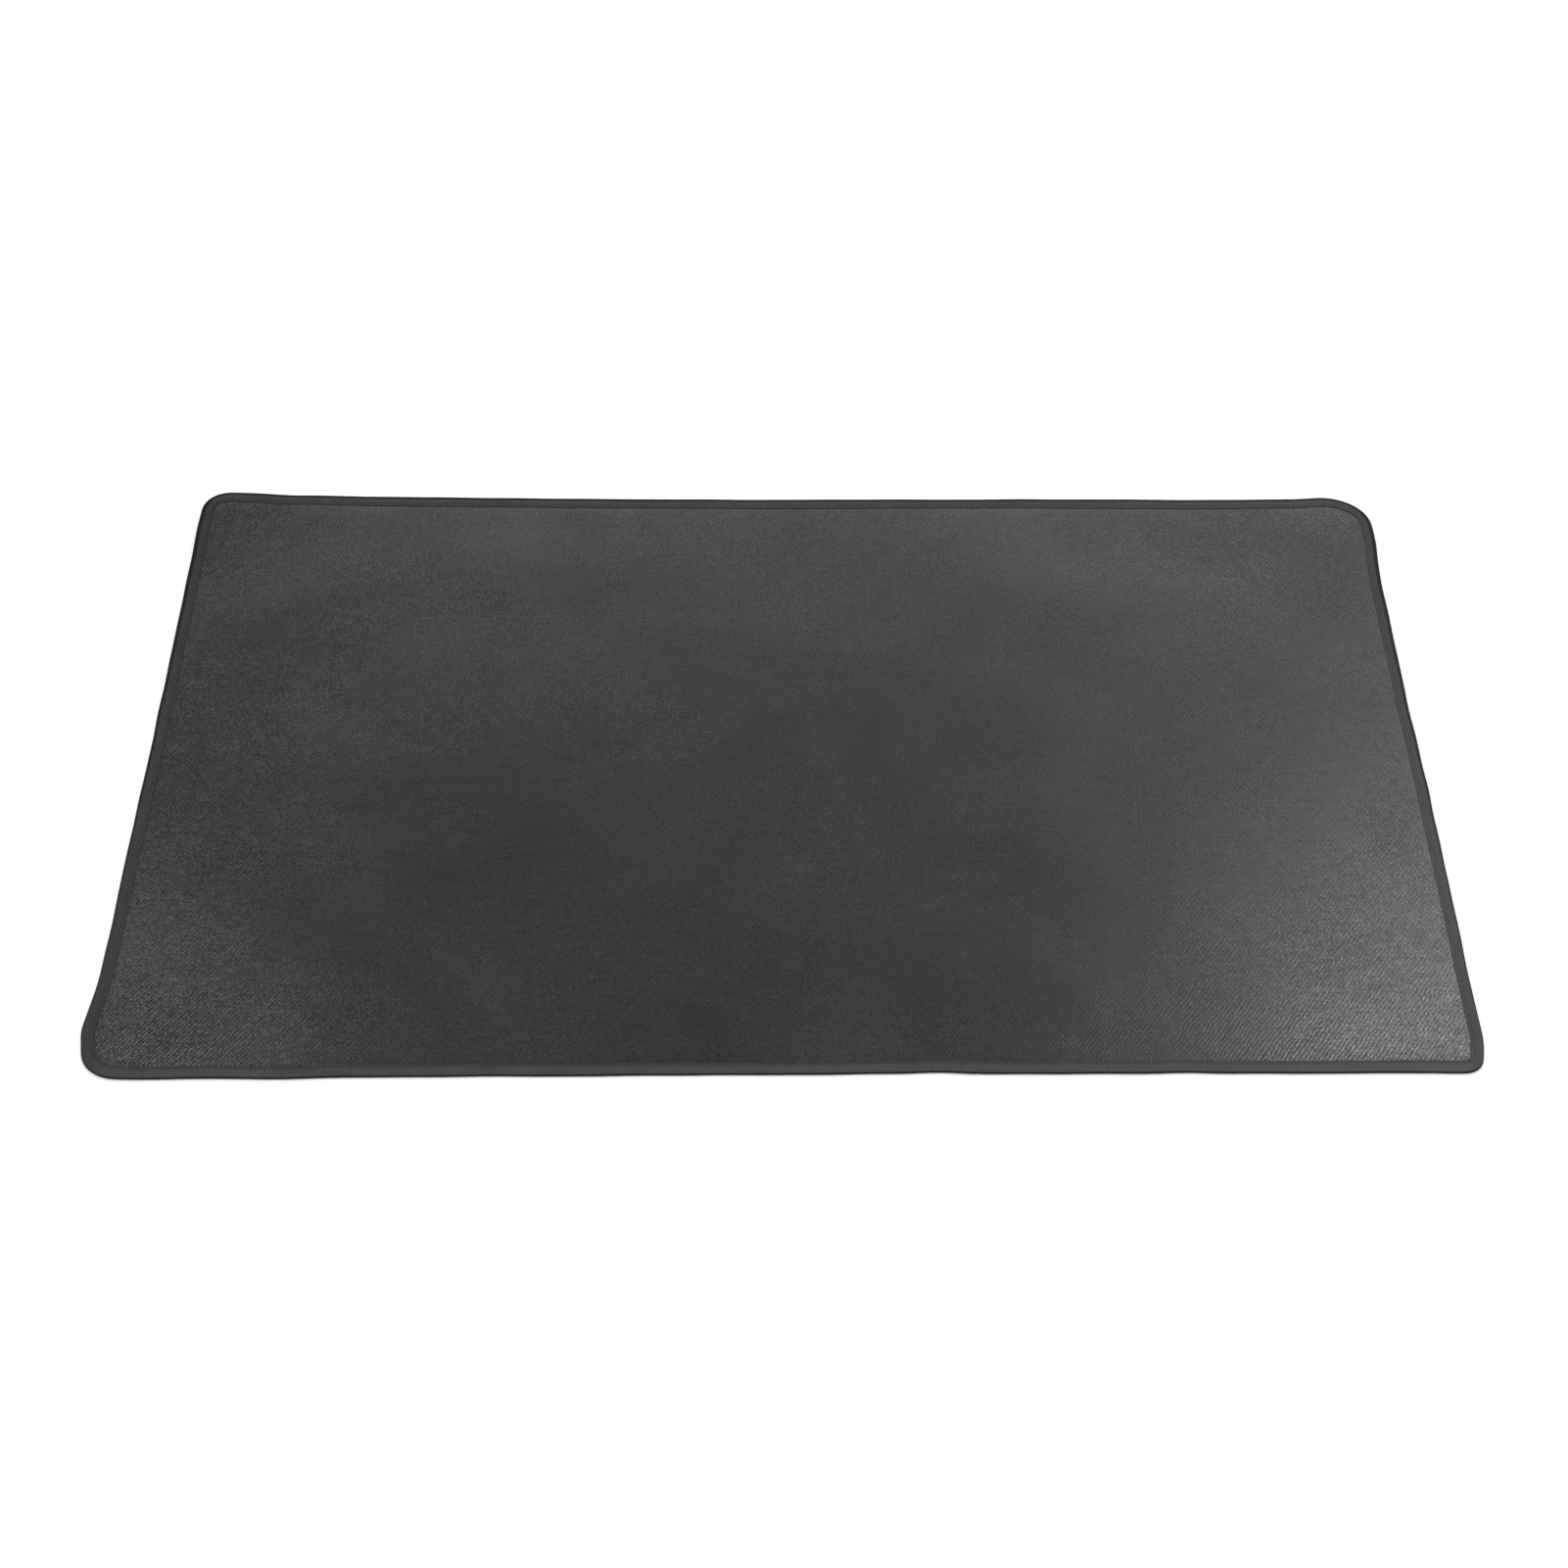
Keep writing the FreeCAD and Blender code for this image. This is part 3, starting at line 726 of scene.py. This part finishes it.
def twill_material():
    """Dark grey twill under a thin, slightly glossy coating. Its diagonals rise to the right.

    The coating is thin towards the two near corners, where the weave shows plainly in relief and roughness,
    and fills it elsewhere. There the weave's stronger contrast in tone is painted sheen.
    """
    shader = Shader("coated_twill", IOR=1.45, Specular_IOR_Level=TWILL_GLOSS, Sheen_Weight=0.0)
    place = shader.coordinates()
    x, y, _ = shader.split(place)
    drift_x, drift_y = shader.wander(place, 45, 0.8)
    warp_yarns = shader.plus(shader.math("DIVIDE", x, WARP_PITCH), drift_x)
    weft_yarns = shader.plus(shader.math("DIVIDE", y, WEFT_PITCH), drift_y)
    weave = Weave(shader, warp_yarns, weft_yarns, 4)

    slub_place = shader.vector(shader.times(x, 9), shader.times(weave.weft, 0.37))
    slub = shader.remap(shader.noise(slub_place, 3, 1), 0.3, 0.7, 0.85, 1.15)
    float_tone = shader.remap(weave.float_luck, 0, 1, 0.64, 1.36)
    yarn_side = shader.mix(weave.on_warp, 0.8, 1.25)
    # painted shade: the tone falls into the gaps between the yarns
    gap_shade = shader.remap(weave.height, 0, 0.75, 0.6, 1.16)
    blotches = shader.remap(shader.noise(place, 420, 2), 0.3, 0.7, 0.66, 1.34)
    speckle = shader.remap(shader.noise(place, 700, 2), 0.3, 0.7, 0.88, 1.12)
    weave_tone = shader.times(slub, float_tone, yarn_side, gap_shade, blotches, speckle)

    # towards the near corners the weave shows more plainly: more relief and spread of roughness, and more
    # contrast in tone, which is painted sheen
    to_side = shader.remap(shader.math("ABSOLUTE", x), MAT_HALF[0] * 0.48, MAT_HALF[0], 0, 1, smooth=True)
    to_near = shader.remap(y, MAT_HALF[1] * 0.5, -MAT_HALF[1], 0.35, 1, smooth=True)
    patches = shader.remap(shader.noise(place, 6, 4, 0.6), 0.3, 0.7, -0.3, 0.3)
    sheen_and_coating_share = shader.plus(shader.times(to_side, to_near), patches)
    plainness = shader.remap(sheen_and_coating_share, 0, 1, 0.8, 2.2)
    shown = shader.plus(1, shader.times(shader.math("SUBTRACT", weave_tone, 1), plainness))

    clouds = shader.remap(shader.noise(place, 4.5, 5, 0.6, 0.7), 0.3, 0.7, 0.73, 1.27)
    # painted sheen: the face is paler towards its edges and darker in its middle
    from_middle = shader.vector(shader.math("DIVIDE", x, MAT_HALF[0]), shader.math("DIVIDE", y, MAT_HALF[1]))
    edge_sheen = shader.remap(shader.length(from_middle), 0.3, 1.2, 0.92, 1.12, smooth=True)
    colour = shader.grey(shader.times(shown, clouds, edge_sheen, TWILL_TONE))
    worn = shader.noise(place, 3.6, 4, 0.55, 0.6)
    wear = shader.remap(worn, 0.3, 0.7, TWILL_ROUGH - 0.09, TWILL_ROUGH + 0.09)
    polish = shader.times(plainness, -0.05)
    gaps = shader.remap(weave.height, 0, 1, 0.12, 0)
    sides = shader.times(shader.mix(weave.on_warp, 0.07, 0), plainness)
    uneven = shader.times(shader.remap(weave.float_luck, 0, 1, 0.05, -0.05), plainness)
    relief = shader.times(shader.plus(weave.height, shader.times(weave.float_luck, 0.45)), plainness)
    grain = shader.times(shader.noise(place, 1400, 2), 0.18)
    shader.bump(shader.plus(relief, grain), 0.45, 0.22 * MM)
    return shader.finish(colour, shader.plus(wear, polish, gaps, sides, uneven))


def tape_material():
    """Ribbed polyester tape: fine ribs across it, matt on its crease, painted shade on the crease and into
    the seam.

    The crease and its painted shade sit under the near side's edge and on top of the far side's. Painted
    sheen makes the long sides lighter than the short ones, and the near side lightest.
    """
    shader = Shader("woven_tape", IOR=1.45, Specular_IOR_Level=0.14, Sheen_Weight=0.02, Sheen_Roughness=0.5)
    along, across, _ = shader.split(shader.coordinates("UV"))
    ends = shader.math("DIVIDE", across, TAPE_END_PITCH)
    ribs = shader.math("DIVIDE", along, TAPE_RIB_PITCH)
    weave = Weave(shader, ends, ribs, 2)
    rib_tone = shader.remap(shader.random(weave.weft), 0, 1, 0.90, 1.10)
    drift_place = shader.vector(shader.times(along, 22), shader.times(across, 60))
    drift = shader.remap(shader.noise(drift_place, 1, 4, 0.6), 0.3, 0.7, 0.86, 1.14)
    # painted shade: the tone falls into the gaps between the ribs and ends
    gap_shade = shader.remap(weave.height, 0, 0.8, 0.6, 1.08)
    x, y, _ = shader.split(shader.coordinates())
    # painted shade on the tape's crease: a band set under the near side's edge and on top of the far side's
    crease = shader.remap(y, -MAT_HALF[1], MAT_HALF[1], -2.6 * MM, 2.4 * MM)
    from_crease = shader.math("ABSOLUTE", shader.math("SUBTRACT", across, crease))
    fold = shader.remap(from_crease, 3.2 * MM, 5.6 * MM, CREASE_SHADE, 1, smooth=True)
    # painted shade: the tape darkens into the seam, along a ragged line
    flecks = shader.times(shader.noise(drift_place, 9, 2), 3 * MM)
    seam_shade = shader.remap(shader.plus(across, flecks), 9 * MM, 17 * MM, 1, 0.74, smooth=True)
    # painted sheen: the tape is lighter along the two long sides than at the short ends
    from_ends = shader.math("SUBTRACT", MAT_HALF[0], shader.math("ABSOLUTE", x))
    long_side_sheen = shader.remap(from_ends, 12 * MM, 35 * MM, 0.86, 1.3, smooth=True)
    # painted sheen: the near side's tape is lighter still
    near_side_sheen = shader.remap(y, -MAT_HALF[1] + 15 * MM, -MAT_HALF[1] + 60 * MM, 1.14, 1, smooth=True)
    tone = shader.times(rib_tone, drift, gap_shade, fold, seam_shade, long_side_sheen, near_side_sheen)
    colour = shader.grey(shader.times(tone, TAPE_TONE))
    shader.bump(weave.height, 0.5, 0.1 * MM)
    matt = shader.remap(fold, CREASE_SHADE, 1, 0.2, 0)
    return shader.finish(colour, shader.plus(shader.remap(weave.height, 0, 1, 0.8, 0.72), matt))


def thread_material():
    """Twisted polyester sewing thread."""
    shader = Shader("sewing_thread", IOR=1.5, Specular_IOR_Level=0.35)
    x, y, z = shader.split(shader.coordinates())
    twist = shader.wave(shader.times(shader.plus(x, y, shader.times(z, 2)), 2 * math.pi / THREAD_TWIST))
    # painted shade: the thread is darker in the grooves of its twist
    tone = shader.remap(twist, -1, 1, 0.75, 1.15)
    shader.bump(twist, 0.4, 0.05 * MM)
    colour = shader.grey(shader.times(tone, THREAD_TONE))
    return shader.finish(colour, shader.remap(twist, -1, 1, 0.75, 0.6))


def backing_material():
    """Plain-woven backing under a matt coating."""
    shader = Shader("backing_cloth", IOR=1.45, Specular_IOR_Level=0.3)
    place = shader.coordinates()
    x, y, _ = shader.split(place)
    weave = Weave(shader, *(shader.math("DIVIDE", axis, BACKING_PITCH) for axis in (x, y)), 2)
    scuffs = shader.remap(shader.noise(place, 14, 4, 0.6), 0.3, 0.7, 0.85, 1.15)
    # painted shade: the tone falls into the gaps of the weave
    tone = shader.times(scuffs, shader.remap(weave.height, 0, 0.8, 0.6, 1.08))
    shader.bump(weave.height, 0.4, 0.12 * MM)
    colour = shader.grey(shader.times(tone, BACKING_TONE))
    return shader.finish(colour, shader.remap(weave.height, 0, 1, 0.8, 0.65))


def felt_material():
    """Needled grey felt, with its fibres lying every way."""
    shader = Shader("felt", IOR=1.4, Specular_IOR_Level=0.2, Sheen_Weight=0.3, Sheen_Roughness=0.6)
    place = shader.coordinates()
    fibres = shader.noise(place, 900, 6, 0.7)
    flecks = shader.remap(shader.noise(place, 260, 3), 0.35, 0.65, 0.7, 1.3)
    shader.bump(fibres, 0.7, 0.2 * MM)
    colour = shader.grey(shader.times(flecks, FELT_TONE))
    return shader.finish(colour, shader.remap(fibres, 0.2, 0.8, 0.8, 1.0))


# ---- the floor, the lights and the camera ----


STUDIO_WHITE = 1.06
FLOOR_TONE = 0.94
FLOOR_GLOW = 0.12
FLOOR_HALF = 40.0


def add_floor():
    """A plain pale floor, a hair below the mat. It glows a little, as a lit studio table does."""
    mesh = bpy.data.meshes.new("floor")
    corners = [(x * FLOOR_HALF, y * FLOOR_HALF, -GAP) for x, y in ((-1, -1), (1, -1), (1, 1), (-1, 1))]
    mesh.from_pydata(corners, [], [(0, 1, 2, 3)])
    floor = bpy.data.objects.new("floor", mesh)
    bpy.context.scene.collection.objects.link(floor)
    shader = Shader("floor", Roughness=0.9, Specular_IOR_Level=0.1, Emission_Strength=FLOOR_GLOW)
    shader.surface.inputs["Base Color"].default_value = (FLOOR_TONE, FLOOR_TONE, FLOOR_TONE, 1)
    mesh.materials.append(shader.material)


def add_light(name, place, toward, size, watts, gloss_only=False):
    """A softbox that points at a place, and isn't seen itself. Gloss only, it adds a sheen and no light."""
    light = bpy.data.lights.new(name, "AREA")
    light.shape = "RECTANGLE"
    light.size = size[0]
    light.size_y = size[1]
    light.energy = watts
    box = bpy.data.objects.new(name, light)
    box.location = place
    box.rotation_euler = (Vector(toward) - Vector(place)).to_track_quat("-Z", "Y").to_euler()
    box.visible_camera = False
    box.visible_diffuse = not gloss_only
    bpy.context.scene.collection.objects.link(box)


def add_lights():
    """A white studio, a strip behind the mat, and softboxes for the sheen on its right and near corners."""
    world = bpy.data.worlds.new("studio")
    world.use_nodes = True
    sky = world.node_tree.nodes["Background"]
    sky.inputs["Color"].default_value = (1, 1, 1, 1)
    sky.inputs["Strength"].default_value = STUDIO_WHITE
    bpy.context.scene.world = world
    add_light("back_strip", (0.2, 2.4, 1.1), (0.2, 0.4, 0), (3.0, 0.5), 25)
    add_light("right_sheen", (1.31, 0.6, 1.13), (0.9, -0.4, 0), (0.48, 0.48), 48.5, gloss_only=True)
    add_light("far_right_sheen", (0.97, 1.69, 0.97), (0.7, 0.45, 0), (0.8, 0.8), 4, gloss_only=True)
    add_light("near_right_sheen", (0.94, -0.04, 0.43), (0.8, -0.43, 0), (0.24, 0.24), 5.8, gloss_only=True)
    add_light("near_left_sheen", (-0.99, 0.02, 0.58), (-0.8, -0.5, 0), (0.32, 0.32), 5, gloss_only=True)


def add_camera():
    """Looks down over the near side, from a little right of the middle."""
    elevation = math.radians(42.62)
    swing = math.radians(0.09)
    look_at = Vector((1.0 * MM, -43.2 * MM, 0))
    distance = 3.666
    level = math.cos(elevation)
    ahead = Vector((math.sin(swing) * level, math.cos(swing) * level, -math.sin(elevation)))
    data = bpy.data.cameras.new("camera")
    data.lens = 72.0
    camera = bpy.data.objects.new("camera", data)
    camera.location = look_at - ahead * distance
    camera.rotation_euler = ahead.to_track_quat("-Z", "Y").to_euler()
    bpy.context.scene.collection.objects.link(camera)
    bpy.context.scene.camera = camera


# ---- the whole mat ----


def make_mat():
    """Makes the layers, the tape and the seam's two threads."""
    base_lower = base_underside()
    base_upper = base_lower + STACK["base_gauge"]
    top_higher = top_upper()
    top_lower = top_higher - (STACK["top_face"] - STACK["top_under"])
    backing = backing_material()
    base = new_layer("base_cloth_sheet", base_lower, base_upper, backing, "base_cloth")
    core = new_layer("core_felt_sheet", base_upper, top_lower, felt_material(), "core_felt")
    top = new_layer("top_cloth_sheet", top_lower, top_higher, twill_material(), "top_cloth")
    tape = new_tape(tape_material())
    thread = thread_material()
    needle = new_stitches("needle_stitches", NEEDLE_THREAD, face_seam_surface, 1, thread, "needle_thread")
    under = underside_seam_surface
    bobbin = new_stitches("bobbin_stitches", BOBBIN_THREAD, under, -1, thread, "bobbin_thread")


make_mat()
add_floor()
add_lights()
add_camera()
bpy.context.scene.view_settings.view_transform = "Standard"
